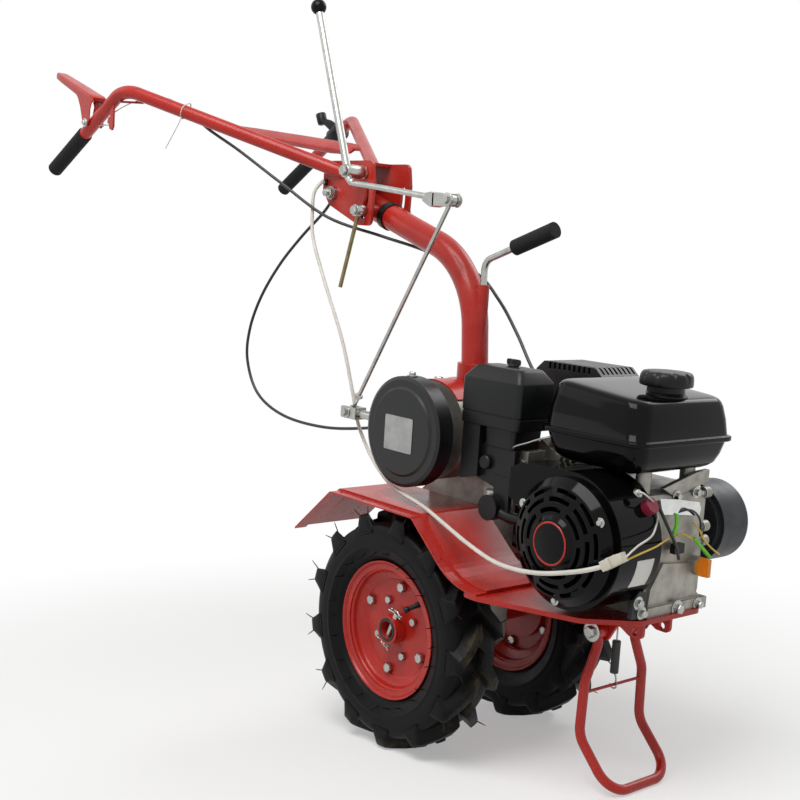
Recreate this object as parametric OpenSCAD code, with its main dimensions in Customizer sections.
// Two-wheel walk-behind tractor with a petrol engine, parked on its front stand.
// Machine frame: axle at the origin, +X towards the engine, +Y to the left, +Z up.
// Everything is then pitched nose-down about the axle and set on the ground.

/* [Stance] */
// Nose-down angle of the machine on its front stand
park_pitch = 5.5; // [4.5:0.5:6.5]

/* [Wheels] */
// Radius over the lug tips
wheel_r = 206; // [203:1:209]
// Distance between the wheels' centre planes
track = 288; // [286:1:296]
// Section width of the tyre
tyre_w = 104; // [98:1:106]
// Height of a lug above the tread
lug_h = 20; // [14:1:24]
// Lugs on each half of the tread
lug_count = 13; // [11:1:14]
// Bead seat radius of the rim
bead_r = 105; // [103:1:107]
// Width of the rim over its flanges
rim_w = 78; // [74:1:80]
// Height of the rim flange over the bead seat
rim_lip = 15; // [13:1:17]
// Sheet thickness of the rim
rim_t = 4; // [3:0.5:5]
// Depth of the disc behind the outer flange
disc_depth = 27; // [24:1:32]
// Outer radius of the hub tube
hub_r = 25; // [23:1:27]
// Radius of the half-axle
axle_r = 15; // [14:0.5:16]

/* [Mudguards and engine bed] */
// Gap between the lug tips and the mudguard sheet
fender_gap = 5.5; // [5:0.5:8]
// Half of the width over the mudguards
fender_half = 205; // [203:1:210]
// Thickness of the mudguard sheet
fender_t = 2.5; // [2:0.5:3]
// Height of the step along the outer edge
joggle = 3.5; // [2.5:0.5:5]
// Width of the lowered edge strip
strip_w = 25; // [20:1:30]
// Height of the bed's top over the axle
bed_top = 126; // [124:1:128]
// Thickness of the bed plate
bed_t = 8; // [7:0.5:9]
// Front edge of the bed
bed_front = 457; // [452:1:460]
// Half width of the bed at its front edge
bed_front_half = 70; // [66:1:74]
// Radius of the holes in the front ears
ear_hole_r = 5.5; // [5:0.5:6.5]

/* [Gearbox] */
// Half width of the gear case
case_half = 40; // [38:1:43]
// Height of the power take-off shaft over the mudguards
pto_z = 124; // [122:1:128]
// Radius of the round take-off guard
guard_r = 95; // [90:1:98]
// Depth of the guard
guard_d = 40; // [36:1:44]

/* [Steering column] */
// Outer radius of the column tube
column_r = 24; // [22:0.5:25]
// Bend radius of the column
column_bend = 165; // [155:1:170]
// Radius of the tilt bolt
tilt_bolt_r = 8; // [7:0.5:9]
// Radius of the clamp bolt
clamp_bolt_r = 6; // [5:0.5:7]
// Distance of the clamp bolt from the tilt bolt
clamp_reach = 104; // [102:1:105]
// Inner half width between the tilt plates
plate_in = 42; // [41:0.5:44]
// Thickness of a tilt plate
plate_t = 6; // [5:0.5:7]
// Largest downward tilt of the handlebar
tilt_down = 4; // [2:1:5]
// Largest upward tilt of the handlebar
tilt_up = 24; // [20:1:25]

/* [Handlebar] */
// Outer radius of a handle tube
bar_r = 13.5; // [12:0.5:14]
// Radius of a handle grip
grip_r = 16; // [15.5:0.5:18]
// Length of a handle grip
grip_len = 150; // [130:1:165]
// Half width over the grip centres at the ends
grip_half = 309; // [300:1:315]

/* [Gear linkage] */
// Distance of the linkage plane from the middle plane
link_y = 90; // [88:1:94]
// Radius of the lever rod
lever_r = 8; // [7:0.5:9]
// Radius of the link rod
link_r = 4; // [3.5:0.5:5]
// Radius of the ball knob
knob_r = 15; // [13:1:17]

/* [Front stand] */
// Radius of the stand tube
stand_r = 8; // [7:0.5:9]
// Radius of the stand's pivot pins
stand_pin_r = 6; // [5:0.5:6.5]
// Half width of the stand's foot
stand_half = 73; // [70:1:76]

/* [Engine] */
// Crank axis in front of the axle
crank_x = 367; // [364:1:368]
// Crank axis above the bed
crank_h = 112; // [110:1:114]
// Radius of the fan housing
fan_r = 105; // [101:1:106]
// Radius of the output drum
drum_r = 67; // [64:1:70]
// Length of the output drum
drum_len = 70; // [66:1:76]
// Front edge of the fuel tank's seam
tank_front = 464; // [462:1:468]
// Length of the fuel tank at its seam
tank_len = 206; // [200:1:207]
// Half width of the fuel tank at its seam
tank_half = 120; // [116:1:122]
// Height of the tank's seam over the fan housing
tank_seam = 51; // [49:1:55]
// Radius of the fuel cap
cap_r = 41; // [38:1:43]

/* [Hidden] */
$fn = 48;

// Colours
paint = "#c22d26";
black = "#17181a";
alloy = "#b4b4ae";
zinc = "#c9c9c4";
rubber = "#1f2022";
drum_grey = "#3a3c40";
lead_white = "#e8e6df";

// Running and seating clearances
run = 0.06;
fit = 0.15;
air = 0.5;

// Values worked out from the driving dimensions
crank_z = bed_top + crank_h;
seam_z = crank_z + fan_r + tank_seam;
bed_bottom = bed_top - bed_t;
wheel_y = track / 2;
tread_r = wheel_r - lug_h;
flange_r = bead_r + rim_lip;
fender_inner = fender_half - strip_w;
plate_out = plate_in + plate_t;
case_front = 72;
case_rear = -68;
fender_z = wheel_r + fender_gap + 3;
pto_up = fender_z + joggle + fender_t + pto_z;
case_top = pto_up + 51;
bell_r = 86;
bell_in = 60;
bell_out = 100;
neck_out = 130;
pto_x = -8;
column_foot = case_top + 25;
axle_tube_half = 66;

// Side outline of the stand, in the machine frame
pivot_x = 355;
pivot_z = 80;
foot_x = 428;
foot_z = (stand_r - wheel_r + foot_x * sin(park_pitch)) / cos(park_pitch);
bracket_in = 30;
bracket_t = 6;
leg_y = bracket_in + bracket_t + air + 8;
eye_out = leg_y + 11;
ear_x = 419;
ear_z = 93;

// Steering column line
column_base = [-11, 0, column_foot];
column_knee = [-30, 0, 631];
column_slope = 18;
column_dir = [-cos(column_slope), 0, sin(column_slope)];
tilt_at = column_knee + column_dir * 383.8;
clamp_at = tilt_at - column_dir * clamp_reach;
clamp_angle = -column_slope;

// Handlebar points on the right side
bar_start = [-345, -26, 779];
bar_apex = [-797, -296, 939];
bar_end = [-1083, -grip_half, 775];
bar_bend = 70;

// Gear linkage points
lever_at = [-299, -link_y, 789];
arm_at = [-4, -link_y, 740];
clevis_at = [-246, -link_y, 341];
knob_at = [-418, -link_y, 1098];

// Extent of the machine along the ground, from the grip ends to the tank's seam
function parked_x(p) = p[0] * cos(park_pitch) + p[2] * sin(park_pitch);
grip_dir = unit(bar_end - bar_apex);
grip_dir_x = parked_x(grip_dir);
rear_x = parked_x(bar_end) - grip_r * sqrt(1 - grip_dir_x * grip_dir_x);
seam_half = 4;
front_x = parked_x([tank_front, 0, seam_z + seam_half]);
mid_x = (front_x + rear_x) / 2;

function unit(v) = v / norm(v);
function flip(p) = [p[0], -p[1], p[2]];
function setback(a, b, c, r) = r / tan(acos(unit(a - b) * unit(c - b)) / 2);
function corner(a, b, c, r, n) =
    let (u = unit(a - b), v = unit(c - b), half = acos(u * v) / 2,
        o = b + unit(u + v) * r / sin(half),
        s = b + u * r / tan(half) - o, e = b + v * r / tan(half) - o,
        from = atan2(s[1], s[0]),
        turn = (atan2(e[1], e[0]) - from + 540) % 360 - 180)
    [for (i = [0 : n]) o + r * [cos(from + turn * i / n), sin(from + turn * i / n)]];
function rounded(pts, r, n = 4) =
    let (k = len(pts))
    [for (i = [0 : k - 1]) each corner(pts[(i + k - 1) % k], pts[i], pts[(i + 1) % k], r, n)];
function box_outline(x0, x1, y0, y1) = [[x0, y0], [x1, y0], [x1, y1], [x0, y1]];

// Places: the pitched machine, the axle, and a side profile drawn in X and Z
module parked() translate([-mid_x, 0, wheel_r]) rotate([0, park_pitch, 0]) children();
module at_axle(side) translate([-mid_x, side * wheel_y, wheel_r]) children();
module across(y0, y1) translate([0, y1, 0]) rotate([90, 0, 0]) linear_extrude(y1 - y0) children();
module lying(x, z, y0, y1, r) translate([x, y0, z]) rotate([-90, 0, 0]) cylinder(h = y1 - y0, r = r);

module rod(a, b, r) {
    d = b - a;
    translate(a)
        rotate([0, acos(d[2] / norm(d)), atan2(d[1], d[0])])
            cylinder(h = norm(d), r = r);
}

// Round bend between the straights a-b and b-c
module elbow(a, b, c, bend, r) {
    u = unit(a - b);
    v = unit(c - b);
    half = acos(u * v) / 2;
    o = b + unit(u + v) * bend / sin(half);
    e1 = unit(b + u * setback(a, b, c, bend) - o);
    e3 = unit(cross(e1, b + v * setback(a, b, c, bend) - o));
    e2 = cross(e3, e1);
    multmatrix([[e1[0], e2[0], e3[0], o[0]], [e1[1], e2[1], e3[1], o[1]], [e1[2], e2[2], e3[2], o[2]],
        [0, 0, 0, 1]])
        rotate_extrude(angle = 180 - 2 * half)
            translate([bend, 0]) circle(r);
}

// Bent tube; its straights are drawn a hair thinner and lap into the bends
bend_lap = 1;
bend_step = 0.05;
module pipe(pts, bend, r) {
    n = len(pts);
    for (i = [1 : n - 2]) elbow(pts[i - 1], pts[i], pts[i + 1], bend, r);
    for (i = [0 : n - 2]) {
        along = unit(pts[i + 1] - pts[i]);
        from = i == 0 ? 0 : setback(pts[i - 1], pts[i], pts[i + 1], bend) - bend_lap;
        to = i == n - 2 ? 0 : setback(pts[i], pts[i + 1], pts[i + 2], bend) - bend_lap;
        rod(pts[i] + along * from, pts[i + 1] - along * to, r - bend_step);
    }
}

// Mudguard outline: d is the distance outside the inner face of the edge strip
fender_slope = 40;
flap_slope = 41;
flap_len = 133;
flap_x = -148;
rear_bend = 6;
front_bend = 8;
toe_bend = 125;
toe_len = 60;
strip_holes = [-130, -70, 10];
strip_hole_r = 3;
fender_d = wheel_r + fender_gap;
function slope_x(d, z) = (fender_d + d - z * cos(fender_slope)) / sin(fender_slope);
toe_end = slope_x(0, bed_top) + toe_len;
function fender_side(d, back) =
    let (top = fender_z + d,
        low = bed_top + d,
        flap_d = -flap_x * sin(flap_slope) + fender_z * cos(flap_slope) + d,
        rear = [(top * cos(flap_slope) - flap_d) / sin(flap_slope), top],
        tip = rear - flap_len * [cos(flap_slope), sin(flap_slope)],
        front = [slope_x(d, top), top],
        toe = [slope_x(d, low), low],
        end = [toe_end - back, low])
    concat([tip], corner(tip, rear, front, rear_bend + d, 3), corner(rear, front, toe, front_bend + d, 3),
        corner(front, toe, end, toe_bend - d, 8), [end]);
function fender_sheet(d0, d1) =
    let (outer = fender_side(d1, 0), n = len(outer) - 1)
    concat(fender_side(d0, d0 > 0 ? fender_t : 0),
        d0 > 0 ? [[toe_end - fender_t, bed_top], [toe_end, bed_top]] : [],
        [for (i = [n : -1 : 0]) outer[i]]);

module fender() {
    across(case_half, fender_inner) polygon(fender_sheet(joggle, joggle + fender_t));
    across(fender_inner, fender_inner + fender_t) polygon(fender_sheet(0, joggle + fender_t));
    difference() {
        across(fender_inner, fender_half) polygon(fender_sheet(0, fender_t));
        for (x = strip_holes) translate([x, fender_half - strip_w / 2, fender_z - 5])
            cylinder(h = 20, r = strip_hole_r);
    }
}
module fender_left() color(paint) parked() fender();
module fender_right() color(paint) parked() mirror([0, 1, 0]) fender();

// Bed plate with the front bracket, its ears and the stand's pins
bed_wheel_x = toe_end - 40;
bed_corner = [400, 143];
bed_corner_r = 20;
tongue_half = 56;
module bracket_plate() {
    lug = [[335, bed_bottom], [335, 70], [365, 62], [385, 96], [408, 84], [434, 84], [434, bed_bottom]];
    across(bracket_in, bracket_in + bracket_t) difference() {
        polygon(rounded(lug, 8));
        translate([ear_x, ear_z]) circle(ear_hole_r);
    }
    lying(pivot_x, pivot_z, bracket_in, eye_out + 6, stand_pin_r);
    lying(pivot_x, pivot_z, eye_out + air, eye_out + 5, stand_pin_r + 4);
}
module engine_bed() color(paint) parked() {
    half_plan = [[bed_wheel_x, fender_half], [toe_end, fender_half], bed_corner, [bed_front, bed_front_half]];
    plan = concat(half_plan, [for (i = [3 : -1 : 0]) [half_plan[i][0], -half_plan[i][1]]]);
    translate([0, 0, bed_bottom]) linear_extrude(bed_t) {
        polygon(rounded(plan, bed_corner_r));
        polygon(box_outline(case_front, bed_wheel_x + 30, -tongue_half, tongue_half));
    }
    translate([case_front, -tongue_half, bed_top - 66]) cube([bed_t, 2 * tongue_half, 66]);
    bracket_plate();
    mirror([0, 1, 0]) bracket_plate();
}

// Cast gear case with the axle tube, the take-off bell and the seats for shaft and cable
case_low = -66;
head_low = 290;
head_half = 55;
axle_tube_r = 34;
neck_r = 50;
neck_in = 62;
shift_boss_r = 14;
cable_boss_r = 8;
shift_seat = -125;
cable_seat = -105;
cable_y = -45;
cable_z = 335;
module gearbox() color(alloy) parked() difference() {
    union() {
        across(-case_half, case_half) polygon(rounded([[case_rear, -30], [-30, case_low], [34, case_low],
            [case_front, -30], [case_front, head_low + 10], [case_rear, head_low + 10]], 14));
        lying(0, 0, -axle_tube_half, axle_tube_half, axle_tube_r);
        lying(pto_x, pto_up, -bell_out, -bell_in, bell_r);
        lying(pto_x, pto_up, -neck_out, neck_in, neck_r);
        across(-head_half, head_half) polygon(box_outline(case_rear - 2, case_front - 18, head_low, case_top));
        rod([-60, -link_y, clevis_at[2]], [shift_seat, -link_y, clevis_at[2]], shift_boss_r);
        rod([-50, cable_y, cable_z], [cable_seat, cable_y, cable_z], cable_boss_r);
    }
    lying(0, 0, -axle_tube_half - 1, axle_tube_half + 1, axle_r + run);
}

// Rear drawbar fork with its pin hole
hitch_pin_x = -118;
hitch_pin_r = 10;
module hitch() color(paint) parked() difference() {
    union() {
        translate([case_rear - 8, -36, -26]) cube([8, 72, 92]);
        for (z = [-26, 54]) translate([0, 0, z]) linear_extrude(12)
            polygon(rounded(box_outline(hitch_pin_x - 26, case_rear - 4, -34, 34), 3));
    }
    translate([hitch_pin_x, 0, -40]) cylinder(h = 120, r = hitch_pin_r);
}

module pto_guard() color(black) parked() translate([pto_x, -neck_out, pto_up]) rotate([90, 0, 0]) {
    step = 3;
    rotate_extrude() polygon([[0, 0], [guard_r - 4, 0], [guard_r, 4], [guard_r, guard_d - 6],
        [guard_r - 6, guard_d - step], [guard_r - 18, guard_d - step], [guard_r - 22, guard_d], [0, guard_d]]);
}
module shift_clevis() color(zinc) parked() {
    rod([shift_seat, -link_y, clevis_at[2]], [clevis_at[0] + 28, -link_y, clevis_at[2]], lever_r);
    half = 11;
    cheek = box_outline(clevis_at[0] - 16, clevis_at[0] + 24, clevis_at[2] - half, clevis_at[2] + half);
    translate([clevis_at[0] + 20, -link_y - 13, clevis_at[2] - half]) cube([8, 26, 2 * half]);
    for (side = [-1, 1]) translate([0, -link_y + side * 10.5, 0]) across(-2.5, 2.5) polygon(rounded(cheek, 4));
}

module column_bracket() color(paint) parked() {
    across(-58, 58) polygon(rounded(box_outline(-74, 52, case_top, column_foot), 5));
}
guide_x = -6;
guide_top = 598;
module steering_column() color(paint) parked() difference() {
    union() {
        translate([column_base[0], 0, column_foot]) cylinder(h = 8, r = 50);
        translate([column_base[0], 0, column_foot]) cylinder(h = 38, r = column_r + 9);
        pipe([column_base + [0, 0, 4], column_knee, tilt_at + column_dir * 17], column_bend, column_r);
        lying(tilt_at[0], tilt_at[2], -plate_in + air, plate_in - air, tilt_bolt_r + 11);
        lying(clamp_at[0], clamp_at[2], -plate_in + air, plate_in - air, clamp_bolt_r + 8);
        rod([guide_x, 0, 515], [guide_x, 0, guide_top], 11);
    }
    lying(tilt_at[0], tilt_at[2], -plate_in, plate_in, tilt_bolt_r + fit);
    lying(clamp_at[0], clamp_at[2], -plate_in, plate_in, clamp_bolt_r + fit);
}
ring_from = tilt_at - column_dir * 133;
module column_ring() color(black) parked() difference() {
    rod(ring_from, ring_from + column_dir * 14, column_r + 3);
    rod(ring_from - column_dir, ring_from + column_dir * 15, column_r + fit);
}
handle_knee = [guide_x, 0, 640];
handle_end = [155, 0, 700];
handle_dir = unit(handle_end - handle_knee);
lock_grip_len = 95;
module lock_handle() color(zinc) parked()
    pipe([[guide_x, 0, guide_top], handle_knee, handle_end - handle_dir * lock_grip_len], 24, 6);
module lock_grip() color(black) parked()
    rod(handle_end - handle_dir * lock_grip_len, handle_end, 14);
module tilt_bolt() color(zinc) parked() {
    lying(tilt_at[0], tilt_at[2], -plate_out - 14, plate_out + 14, tilt_bolt_r);
    for (side = [0, 1]) mirror([0, side, 0])
        lying(tilt_at[0], tilt_at[2], plate_out + air, plate_out + 8, tilt_bolt_r + 5);
}
clamp_handle_y = -plate_out - 12;
clamp_handle_end = [-341, clamp_handle_y, 570];
module tilt_clamp() color(zinc) parked() {
    boss_r = clamp_bolt_r + 4.5;
    lying(clamp_at[0], clamp_at[2], -plate_out - 10, plate_out + 14, clamp_bolt_r);
    lying(clamp_at[0], clamp_at[2], plate_out + air, plate_out + 8, clamp_bolt_r + 5);
    lying(clamp_at[0], clamp_at[2], -plate_out - 20, -plate_out - air, boss_r);
    rod([clamp_at[0] + 2, clamp_handle_y, clamp_at[2] + 6], clamp_handle_end, 4);
}

// Engine casting with the inclined finned barrel
barrel_tilt = 25;
barrel_end = 150;
block_right = -58;
oil_cap_x = 452;
block_left = 85;
head_right = -45;
head_left = 60;
module at_crank() translate([crank_x, 0, crank_z]) rotate([0, barrel_tilt, 0]) children();
module barrel_slab(from, to, half, y0, y1)
    translate([-to, y0, -half]) cube([to - from, y1 - y0, 2 * half]);
fin_pitch = 12;
fin_t = 4;
post_r = 12;
tank_bottom = seam_z - 48;
module engine_block() color(alloy) parked() {
    translate([290, block_right, bed_top]) cube([153, 136, 14]);
    across(block_right, block_left) polygon(rounded(
        box_outline(crank_x - 68, crank_x + 72, bed_top + 6, crank_z + 78), 20));
    lying(crank_x, crank_z, block_left, block_left + flange_d, 62);
    at_crank() {
        barrel_slab(30, barrel_end, 38, head_right + 6, head_left - 6);
        for (i = [0 : 5]) translate([-fin_pitch * i, 0, 0])
            barrel_slab(80, 80 + fin_t, 50, head_right, head_left);
    }
    for (y = [-45, 62]) translate([crank_x + 50, y, crank_z + 60])
        cylinder(h = tank_bottom - crank_z - 60, r = post_r);
    rod([crank_x + 50, oil_y, oil_z], [oil_cap_x, oil_y, oil_z], oil_r);
}
module cylinder_head() color(alloy) parked() {
    at_crank() {
        barrel_slab(barrel_end, barrel_end + 34, 40, head_right, head_left);
        for (i = [0 : 2]) translate([-barrel_end - fin_pitch * i, 0, 0])
            barrel_slab(4, 4 + fin_t, 52, head_right, head_left);
        barrel_slab(barrel_end + 34, barrel_end + 58, 36, head_right + 8, head_left - 12);
    }
    translate([185, 12, crank_z + 90]) cylinder(h = 57, r = 7);
}
fan_out = -150;
shroud_out = -125;
shroud_rear = crank_x - 132;
module fan_housing() color(black) parked() {
    lying(crank_x, crank_z, fan_out, block_right, fan_r);
    across(shroud_out, block_right) polygon([[crank_x, crank_z + fan_r - 3], [shroud_rear, crank_z + 94],
        [shroud_rear, crank_z + 30], [crank_x - 80, crank_z - 60], [crank_x, crank_z]]);
    across(shroud_out, shroud_out + 16)
        polygon([[shroud_rear + 4, crank_z + 94], [shroud_rear - 20, crank_z + 84],
            [shroud_rear - 20, crank_z + 36], [shroud_rear + 4, crank_z + 24]]);
}
recoil_d = 37;
emblem_r = 36;
slot_rings = [[47, 54, 6], [62, 69, 8], [75.5, 82, 10]];
slot_share = 0.78;
module recoil_cover() color(black) parked()
    translate([crank_x, fan_out, crank_z]) rotate([90, 0, 0]) difference() {
    rotate_extrude() polygon([[0, 0], [fan_r - 8, 0], [fan_r - 8, 10], [fan_r - 20, 22], [60, 30],
        [emblem_r + 6, 32], [emblem_r, recoil_d], [0, recoil_d]]);
    for (ring = slot_rings) for (i = [0 : ring[2] - 1]) rotate([0, 0, i * 360 / ring[2] + 3 * ring[2]])
        translate([0, 0, 12]) rotate_extrude(angle = slot_share * 360 / ring[2])
            translate([ring[0], 0]) square([ring[1] - ring[0], 30]);
}
module tank_layer(z, inset, h = 1)
    translate([0, 0, z]) linear_extrude(h) polygon(rounded(box_outline(tank_front - tank_len + inset,
        tank_front - inset, inset - tank_half, tank_half - inset), 24));
module fuel_tank() color(black) parked() {
    hull() {
        tank_layer(tank_bottom, 24);
        tank_layer(tank_bottom + 10, 14);
        tank_layer(seam_z - seam_half, 6);
    }
    tank_layer(seam_z - seam_half, 0, 2 * seam_half);
    hull() {
        tank_layer(seam_z + seam_half - 1, 5);
        tank_layer(seam_z + 54, 12);
        tank_layer(seam_z + 66, 19);
        tank_layer(seam_z + 70, 28);
    }
}
cap_x = tank_front - 55;
cap_z = seam_z + 71;
module fuel_cap() color(black) parked() translate([cap_x, 0, cap_z]) difference() {
    union() {
        cylinder(h = 22, r = cap_r);
        translate([0, 0, 22]) cylinder(h = 10, r1 = cap_r - 3, r2 = cap_r - 9);
    }
    for (i = [0 : 11]) rotate([0, 0, i * 30]) translate([cap_r + 3, 0, -1]) cylinder(h = 30, r = 6.5, $fn = 24);
}
filter_bottom = 377;
filter_rear = 94;
filter_front = 228;
filter_right = -130;
filter_left = -46;
filter_top = 475;
filter_base = 345;
base_rear = 142;
base_front = 212;
module air_filter() color(black) parked() {
    chamfer = [14, 19];
    side = [[filter_rear + 4, filter_bottom], [filter_front - 4, filter_bottom],
        [filter_front, filter_top - chamfer[1]], [filter_front - chamfer[0], filter_top],
        [filter_rear + chamfer[0], filter_top], [filter_rear, filter_top - chamfer[1]]];
    across(filter_right, filter_left) polygon(rounded(side, 5));
    across(filter_right + 10, filter_left - 6)
        polygon(box_outline(base_rear, base_front, filter_base, filter_bottom + 1));
    translate([(filter_rear + filter_front) / 2, -80, filter_top - 1]) cylinder(h = 13, r = 7);
}
panel_out = -124;
panel_in = -108;
panel_front = base_rear - 4;
panel_low = 282;
choke_x = 171;
choke_z = 246;
choke_r = 21;
module control_panel() color(black) parked() {
    plate = [[filter_rear + 4, panel_low], [panel_front, panel_low + 10], [panel_front, filter_bottom],
        [filter_rear + 4, filter_bottom]];
    wing = [[filter_rear + 30, panel_low + 8], [base_front, panel_low - 14], [base_front, filter_base],
        [filter_rear + 30, filter_base]];
    across(panel_out, panel_in) polygon(plate);
    across(panel_in - 6, panel_in) polygon(wing);
    lying(choke_x, choke_z, panel_out - 4, panel_in, choke_r);
    across(panel_in - 8, panel_in) polygon(box_outline(choke_x, choke_x + 35, choke_z - 10, panel_low + 18));
}
head_mid = barrel_end + 28;
carb_x = crank_x - head_mid * cos(barrel_tilt);
carb_z = crank_z + head_mid * sin(barrel_tilt);
module carburettor() color(alloy) parked() {
    lying(carb_x, carb_z, -100, head_right, 19);
    translate([carb_x, -76, carb_z - 58]) cylinder(h = 58, r = 23);
    translate([carb_x - 24, -98, carb_z]) cube([44, 40, filter_base - carb_z]);
}
muffler_rear = 98;
muffler_front = tank_front - tank_len - 8;
muffler_right = 40;
muffler_left = 135;
muffler_bottom = 385;
muffler_top = 478;
slot_w = 5;
slot_pitch = 11;
module muffler() color(black) parked() difference() {
    shell = [[muffler_rear, muffler_bottom], [muffler_front, muffler_bottom], [muffler_front, muffler_top - 16],
        [muffler_front - 18, muffler_top], [muffler_rear + 18, muffler_top], [muffler_rear, muffler_top - 16]];
    elbow_y = head_left + 38;
    union() {
        across(muffler_right, muffler_left) polygon(rounded(shell, 6));
        pipe([[carb_x, head_left, carb_z], [carb_x, elbow_y, carb_z],
            [carb_x, elbow_y, muffler_bottom + 2]], 24, 14);
    }
    for (y = [muffler_right + 8 : slot_pitch : muffler_left - 8], x = [muffler_rear - 1, muffler_front - 23])
        translate([x, y, muffler_top - 10]) cube([24, slot_w, 20]);
    for (x = [muffler_rear + 30 : slot_pitch : muffler_front - 32])
        translate([x, muffler_right - 1, muffler_top - 12]) cube([slot_w, 16, 20]);
}
drum_from = 150;
flange_d = 15;
module clutch_drum() color(drum_grey) parked()
    translate([crank_x, block_left + flange_d, crank_z]) rotate([-90, 0, 0]) {
        gap = drum_from - block_left - flange_d;
        end = gap + drum_len;
        rotate_extrude() polygon([[0, 0], [24, 0], [24, gap - 8], [drum_r - 8, gap - 8], [drum_r - 8, gap],
            [drum_r, gap], [drum_r, end - 5], [drum_r - 5, end], [drum_r - 18, end], [drum_r - 22, end - 8],
            [0, end - 8]]);
    }
oil_y = 70;
oil_z = bed_top + 66;
oil_r = 15;
module oil_cap() color("#f0930a") parked() {
    rod([oil_cap_x, oil_y, oil_z], [oil_cap_x + 8, oil_y, oil_z], oil_r);
    translate([oil_cap_x + 7.5, oil_y - 4, oil_z - 14]) cube([9.5, 8, 28]);
}
switch_angle = 35;
switch_y = -78;
module engine_switch() color("#7d1c33") parked()
    translate([crank_x, switch_y, crank_z]) rotate([0, 90 - switch_angle, 0]) difference() {
        translate([0, 0, fan_r - 1]) cylinder(h = 15, r = 12);
        translate([0, 30, 0]) rotate([90, 0, 0]) cylinder(h = 60, r = fan_r + fit);
    }

// Tilt plates, with the arc slot that the clamp bolt runs in
slot_half = clamp_bolt_r + air;
slot_from = clamp_angle - tilt_down - 1;
slot_to = clamp_angle + tilt_up + 1;
slot_steps = 10;
function slot_edge(r) = [for (i = [0 : slot_steps])
    let (a = slot_from + (slot_to - slot_from) * i / slot_steps) r * [cos(a), sin(a)]];
module slot() {
    outer = slot_edge(clamp_reach + slot_half);
    inner = slot_edge(clamp_reach - slot_half);
    polygon(concat(outer, [for (i = [slot_steps : -1 : 0]) inner[i]]));
    for (a = [slot_from, slot_to]) rotate(a) translate([clamp_reach, 0]) circle(slot_half);
}
module tilt_plate() {
    outline = [[-430, 812], [-278, 812], [-271, 770], [-274, 690], [-312, 690], [-408, 727], [-430, 755]];
    across(plate_in, plate_out) difference() {
        polygon(rounded(outline, 12));
        translate([tilt_at[0], tilt_at[2]]) circle(tilt_bolt_r + run);
        translate([tilt_at[0], tilt_at[2]]) slot();
    }
}
module handlebar_bracket() color(paint) parked() {
    tilt_plate();
    mirror([0, 1, 0]) tilt_plate();
    translate([-418, -plate_out, 806]) cube([85, 2 * plate_out, 6]);
    lying(lever_at[0], lever_at[2], -link_y - 14, -plate_out, lever_r);
    lying(lever_at[0], lever_at[2], -plate_out - 10, -plate_out, lever_r + 3);
}

// Handle tubes end on the outer faces of the tilt plates
grip_wall = 3;
module handle_tube() difference() {
    pipe([bar_start, bar_apex, bar_end - grip_dir * grip_wall], bar_bend, bar_r);
    translate([-500, -plate_out, 600]) cube([400, 200, 400]);
}
module grip() difference() {
    rod(bar_end - grip_dir * grip_len, bar_end, grip_r);
    rod(bar_end - grip_dir * (grip_len + 1), bar_end - grip_dir * grip_wall, bar_r + fit);
}
module handle_tube_right() color(paint) parked() handle_tube();
module handle_tube_left() color(paint) parked() mirror([0, 1, 0]) handle_tube();
module grip_right() color(black) parked() grip();
module grip_left() color(black) parked() mirror([0, 1, 0]) grip();

// Folded-sheet lever from its saddle on the tube to its tip
module paddle(saddle, heel, tip, half, t) {
    lean = atan2(tip[2] - heel[2], heel[0] - tip[0]);
    len = norm([tip[0] - heel[0], 0, tip[2] - heel[2]]);
    translate([heel[0], heel[1] - half, heel[2]]) rotate([0, lean, 0]) {
        translate([-len, 0, 0]) cube([len, 2 * half, t]);
        for (y = [0, 2 * half - t]) translate([0, y, 0]) rotate([90, 0, 0]) mirror([0, 0, 1]) linear_extrude(t)
            polygon([[0, 0], [-len, 0], [-len + 10, -10], [-len * 0.35, -14], [0, -26]]);
    }
    rod(saddle, heel + [-14, 0, 14 * tan(lean) + t / 2], 5);
}
bar_dir = unit(bar_apex - bar_start);
function on_grip_tube(s) = bar_end - grip_dir * s;
seat_right = on_grip_tube(grip_len + 42);
heel_right = [-900, seat_right[1], 925];
tip_right = [-1085, seat_right[1], 985];
module clutch_lever_right() color(paint) parked() difference() {
    paddle(seat_right, heel_right, tip_right, 15, 2.5);
    rod(on_grip_tube(0), on_grip_tube(grip_len + 120), bar_r + fit);
}
seat_left = flip(bar_start + bar_dir * 235);
heel_left = [-590, seat_left[1] - 4, 856];
tip_left = [-1075, seat_left[1] - 4, 911];
module clutch_lever_left() color(paint) parked() difference() {
    paddle(seat_left, heel_left, tip_left, 15, 2.5);
    rod(flip(bar_start), flip(bar_apex), bar_r + fit);
}
throttle_at = flip(bar_apex + grip_dir * 66);
throttle_tip = throttle_at + [-58, -6, 38];
module throttle_lever() color(black) parked() difference() {
    union() {
        rod(throttle_at - flip(grip_dir) * 16, throttle_at + flip(grip_dir) * 16, bar_r + 6);
        rod(throttle_at, throttle_tip, 6);
        translate(throttle_tip) sphere(11);
    }
    rod(flip(bar_apex), flip(bar_end), bar_r + fit);
}

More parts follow.
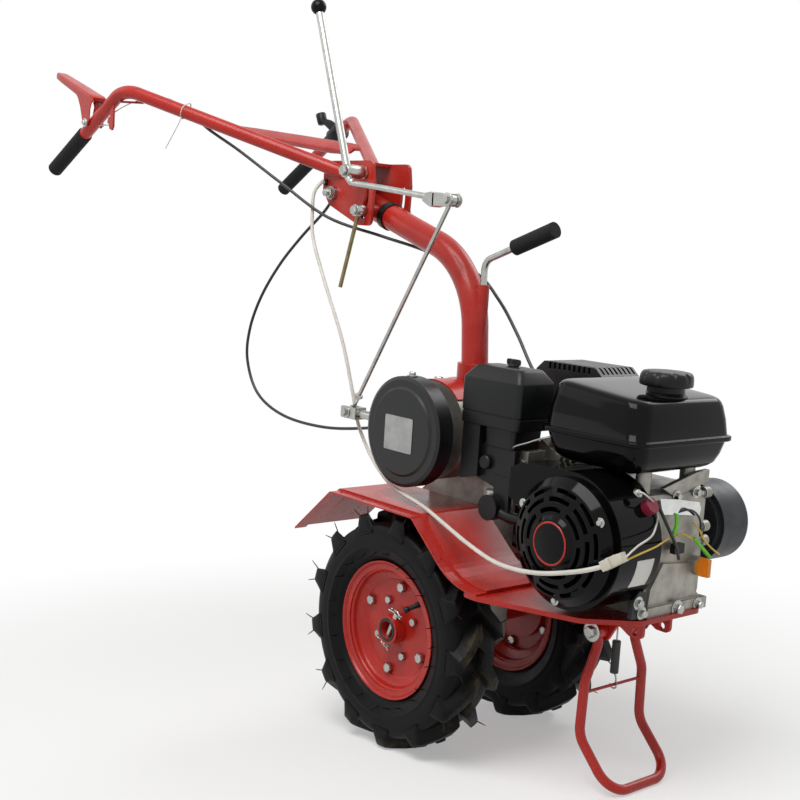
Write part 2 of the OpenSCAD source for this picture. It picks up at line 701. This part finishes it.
// Gear lever on its stud, with the forked arm that carries the link rod
link_pin_r = 4;
knob_dir = unit(knob_at - lever_at);
module gear_lever() color(zinc) parked() difference() {
    union() {
        lying(lever_at[0], lever_at[2], -link_y - 8, -plate_out - 12, lever_r + 4);
        rod(lever_at + knob_dir * 6, knob_at - knob_dir * 8, lever_r);
        across(-link_y - 4, -link_y + 4) polygon([[lever_at[0], lever_at[2] - 13],
            [lever_at[0], lever_at[2] + 9], [arm_at[0] - 36, arm_at[2] + 13], [arm_at[0] - 36, arm_at[2] - 8]]);
        across(-link_y - 12, -link_y + 12) polygon(rounded(
            box_outline(arm_at[0] - 40, arm_at[0] + 11, arm_at[2] - 11, arm_at[2] + 11), 6));
    }
    lying(lever_at[0], lever_at[2], -link_y - 20, -plate_out, lever_r + run);
    difference() {
        across(-link_y - 6, -link_y + 6) polygon(
            box_outline(arm_at[0] - 16, arm_at[0] + 20, arm_at[2] - 30, arm_at[2] + 30));
        lying(arm_at[0], arm_at[2], -link_y - 7, -link_y + 7, link_pin_r);
    }
}
module gear_knob() color(black) parked() difference() {
    translate(knob_at) sphere(knob_r);
    rod(knob_at - knob_dir * 20, knob_at - knob_dir * 8, lever_r + fit);
}
module gear_rod() color(zinc) parked() difference() {
    union() {
        rod(arm_at, clevis_at, link_r);
        lying(arm_at[0], arm_at[2], -link_y - 5, -link_y + 5, 9);
        lying(clevis_at[0], clevis_at[2], -link_y - 5, -link_y + 5, 8);
    }
    lying(arm_at[0], arm_at[2], -link_y - 20, -link_y + 20, link_pin_r + run);
    lying(clevis_at[0], clevis_at[2], -link_y - 20, -link_y + 20, link_pin_r);
}

// Front stand: one bent tube hung on the two pins, splayed below them, with a bar for the spring
splay_at = [356, -leg_y, 56];
shoulder_at = [357, -stand_half + 3, 0];
knee_at = [357, -stand_half, -87];
stand_eye_r = 13;
stand_bar_r = 2.5;
stand_bar_share = 0.2;
stand_bar = shoulder_at + (knee_at - shoulder_at) * stand_bar_share;
module stand() color(paint) parked() {
    top = [pivot_x, -leg_y, pivot_z];
    foot = [foot_x, -stand_half, foot_z];
    difference() {
        union() {
            pipe([top, splay_at, shoulder_at, knee_at, foot, flip(foot), flip(knee_at), flip(shoulder_at),
                flip(splay_at), flip(top)], 40, stand_r);
            for (side = [0, 1]) mirror([0, side, 0]) lying(pivot_x, pivot_z, leg_y - 8, eye_out, stand_eye_r);
        }
        lying(pivot_x, pivot_z, -eye_out - 1, eye_out + 1, stand_pin_r + run);
    }
    rod(stand_bar, flip(stand_bar), stand_bar_r);
}
spring_wire_r = 1.5;
spring_sleeve_r = 7;
spring_foot = stand_bar[2] + stand_bar_r + 0.3;
module stand_spring() color(black) parked() {
    translate([stand_bar[0], 0, spring_foot]) cylinder(h = bed_bottom - spring_foot, r = spring_wire_r);
    translate([stand_bar[0], 0, 2]) cylinder(h = 54, r = spring_sleeve_r);
}

// Tyre: one closed skin, its columns sheared along the chevron lugs
half_w = tyre_w / 2;
bead_half = rim_w / 2 - rim_t - 0.4;
lug_lean = 15;
lug_pitch = 360 / lug_count;
lug_cols = [0.02, 0.06, 0.36, 0.40, 0.52, 0.56, 0.86, 0.90];
// Each row: half width, groove radius, lug radius, share of the chevron's lean
tyre_rows = [
    [bead_half, bead_r + 0.4, bead_r + 0.4, 0],
    [bead_half, flange_r + 1.5, flange_r + 1.5, 0],
    [half_w - 1, (flange_r + tread_r) / 2 - 6, (flange_r + tread_r) / 2 - 6, 0],
    [half_w - 2, tread_r - 12, tread_r - 8, 0],
    [half_w - 6, tread_r - 3, wheel_r - 4, 0],
    [half_w - 28, tread_r - 1, wheel_r - 1, 0.5],
    [3, tread_r, wheel_r, 1]];
tyre_bands = len(tyre_rows);
tyre_cols = 8 * lug_count;
function tyre_point(row, col) =
    let (near = row < tyre_bands,
        band = tyre_rows[near ? row : 2 * tyre_bands - 1 - row],
        c = col % 8,
        lug = near ? (c == 1 || c == 2) : (c == 5 || c == 6),
        r = lug ? band[2] : band[1],
        shoulder = (band[2] > band[1] && lug) ? (band[3] == 0 ? 5 : 0) : 0,
        a = ((col - c) / 8 + lug_cols[c] - 0.21) * lug_pitch + lug_lean * band[3] - 90)
    [r * cos(a), (near ? -1 : 1) * (band[0] + shoulder - (shoulder > 0 ? 3 : 0)), r * sin(a)];
module tyre_skin() {
    rows = 2 * tyre_bands;
    pts = [for (j = [0 : rows - 1]) for (i = [0 : tyre_cols - 1]) tyre_point(j, i)];
    at = function(j, i) (j % rows) * tyre_cols + (i % tyre_cols);
    polyhedron(pts, [for (j = [0 : rows - 1]) for (i = [0 : tyre_cols - 1])
        each [[at(j, i), at(j + 1, i), at(j + 1, i + 1)], [at(j, i), at(j + 1, i + 1), at(j, i + 1)]]]);
}
module tyre_right() color(rubber) at_axle(-1) tyre_skin();
module tyre_left() color(rubber) at_axle(1) tyre_skin();

// Rim: flanges, bead seats and well in one rolled section, with the disc
disc_out = rim_w / 2 - disc_depth;
module rim() rotate([-90, 0, 0]) {
    h = rim_w / 2;
    well = 16;
    rotate_extrude() polygon([[flange_r, -h], [flange_r, -h + rim_t], [bead_r, -h + rim_t], [bead_r, -20],
        [bead_r - well, -12], [bead_r - well, 12], [bead_r, 20], [bead_r, h - rim_t], [flange_r, h - rim_t],
        [flange_r, h], [bead_r - rim_t, h], [bead_r - rim_t, 20], [bead_r - well - rim_t, disc_out],
        [hub_r + fit, disc_out], [hub_r + fit, disc_out - 5], [bead_r - well - rim_t, disc_out - 5],
        [bead_r - well - rim_t, -12], [bead_r - rim_t, -20], [bead_r - rim_t, -h]]);
}
module hub() rotate([-90, 0, 0]) difference() {
    inner = axle_tube_half - wheel_y + 5;
    outer = rim_w / 2 - 4;
    rotate_extrude() polygon([[0, 8 - wheel_y], [axle_r, 8 - wheel_y], [axle_r, inner], [hub_r, inner],
        [hub_r, disc_out - 13], [62, disc_out - 13], [62, disc_out - 5], [hub_r, disc_out - 5], [hub_r, outer],
        [0, outer]]);
    translate([0, 0, outer - 40]) cylinder(h = 41, r = axle_r);
}
module rim_left() color(paint) at_axle(1) rim();
module rim_right() color(paint) at_axle(-1) mirror([0, 1, 0]) rim();
module hub_left() color(paint) at_axle(1) hub();
module hub_right() color(paint) at_axle(-1) mirror([0, 1, 0]) hub();

// Cords: routes chosen by hand in the machine frame, smoothed and swept as tubes
stop_lead_route = [[-421, -48.5, 770], [-421, -53, 770], [-421, -58, 770], [-428, -70, 750], [-426, -74, 715],
    [-416, -76, 660], [-372, -76, 580], [-310, -72, 470], [-274, -68, 375], [-250, -68, 315], [-200, -78, 270],
    [-120, -112, 248], [-36, -150, 240], [60, -168, 229], [120, -172, 212], [190, -178, 193], [265, -186, 182],
    [350, -194, 190], [430, -194, 212], [474, -190, 230]];
clutch_cable_route = [[-418, 41.5, 790], [-418, 37, 790], [-418, 32, 790], [-438, 0, 762], [-450, -26, 715],
    [-490, -52, 660], [-545, -64, 600], [-592, -74, 530], [-622, -78, 460], [-622, -80, 395], [-580, -78, 330],
    [-490, -74, 297], [-370, -62, 291], [-255, -50, 306], [-165, -45, 328], [-135, -45, 335], [-118, -45, 335],
    [-105.4, -45, 335]];
throttle_cable_route = [[-775.5, -265.7, 918.2], [-761.8, -254.6, 919.2], [-741.2, -242.3, 922.3],
    [-721.2, -232.6, 919.8], [-695.7, -215.7, 906.3], [-671.4, -200, 888.1], [-647.7, -189.3, 868.8],
    [-628, -176, 854], [-578, -150, 823], [-487, -108, 763], [-388, -64, 702], [-280, -14, 672],
    [-205, 24, 652], [-80, 46, 618], [-5, 40, 572], [62, 24, 518], [115, 12, 465], [160, 12, 424],
    [185, 12, 402], [185, 12, 393], [185, 12, 385.5]];
lead_r = 3.5;
cable_r = 3;
cord_steps = 4;
cord_sides = 8;
function spline(a, b, c, d, t) = 0.5 * ((2 * b) + (c - a) * t + (2 * a - 5 * b + 4 * c - d) * t * t
    + (3 * b - a - 3 * c + d) * t * t * t);
function smooth(pts) =
    let (n = len(pts) - 1)
    concat([for (i = [0 : n - 1]) for (k = [0 : cord_steps - 1])
        spline(pts[max(i - 1, 0)], pts[i], pts[i + 1], pts[min(i + 2, n)], k / cord_steps)], [pts[n]]);
function tangent(line, i) = unit(line[min(i + 1, len(line) - 1)] - line[max(i - 1, 0)]);
function side_of(t, last) = unit(last - t * (last * t));
function sides(line, i, last) =
    i == len(line) ? [] :
    let (s = side_of(tangent(line, i), last)) concat([s], sides(line, i + 1, s));
module cord(route, r) {
    line = smooth(route);
    n = len(line);
    across_dirs = sides(line, 0, [0.31, 0.52, 0.8]);
    pts = [for (i = [0 : n - 1]) for (k = [0 : cord_sides - 1])
        let (a = k * 360 / cord_sides, s = across_dirs[i])
        line[i] + r * (s * cos(a) + cross(tangent(line, i), s) * sin(a))];
    walls = [for (i = [0 : n - 2]) for (k = [0 : cord_sides - 1])
        let (k1 = (k + 1) % cord_sides, a = i * cord_sides, b = a + cord_sides)
        each [[a + k, b + k, b + k1], [a + k, b + k1, a + k1]]];
    first = [for (k = [0 : cord_sides - 1]) k];
    last = [for (k = [cord_sides - 1 : -1 : 0]) (n - 1) * cord_sides + k];
    polyhedron(pts, concat(walls, [first, last]));
}
module stop_lead() color(lead_white) parked() cord(stop_lead_route, lead_r);
module clutch_cable() color(black) parked() cord(clutch_cable_route, cable_r);
module throttle_cable() color(black) parked() cord(throttle_cable_route, cable_r);
lead_end = stop_lead_route[len(stop_lead_route) - 1];
module lead_connector() color(lead_white) parked() translate(lead_end) rotate([0, -25, 8]) {
    translate([0.3, -7, -6]) cube([34, 14, 12]);
}

engine_bed();
fender_right();
fender_left();
gearbox();
hitch();
column_bracket();
steering_column();
column_ring();
lock_handle();
lock_grip();
tilt_bolt();
tilt_clamp();
pto_guard();
shift_clevis();
engine_block();
cylinder_head();
fan_housing();
recoil_cover();
fuel_tank();
fuel_cap();
air_filter();
control_panel();
carburettor();
muffler();
clutch_drum();
oil_cap();
engine_switch();
handlebar_bracket();
handle_tube_right();
handle_tube_left();
grip_right();
grip_left();
clutch_lever_right();
clutch_lever_left();
throttle_lever();
gear_lever();
gear_knob();
gear_rod();
stand();
stand_spring();
tyre_right();
rim_right();
hub_right();
tyre_left();
rim_left();
hub_left();
stop_lead();
lead_connector();
clutch_cable();
throttle_cable();
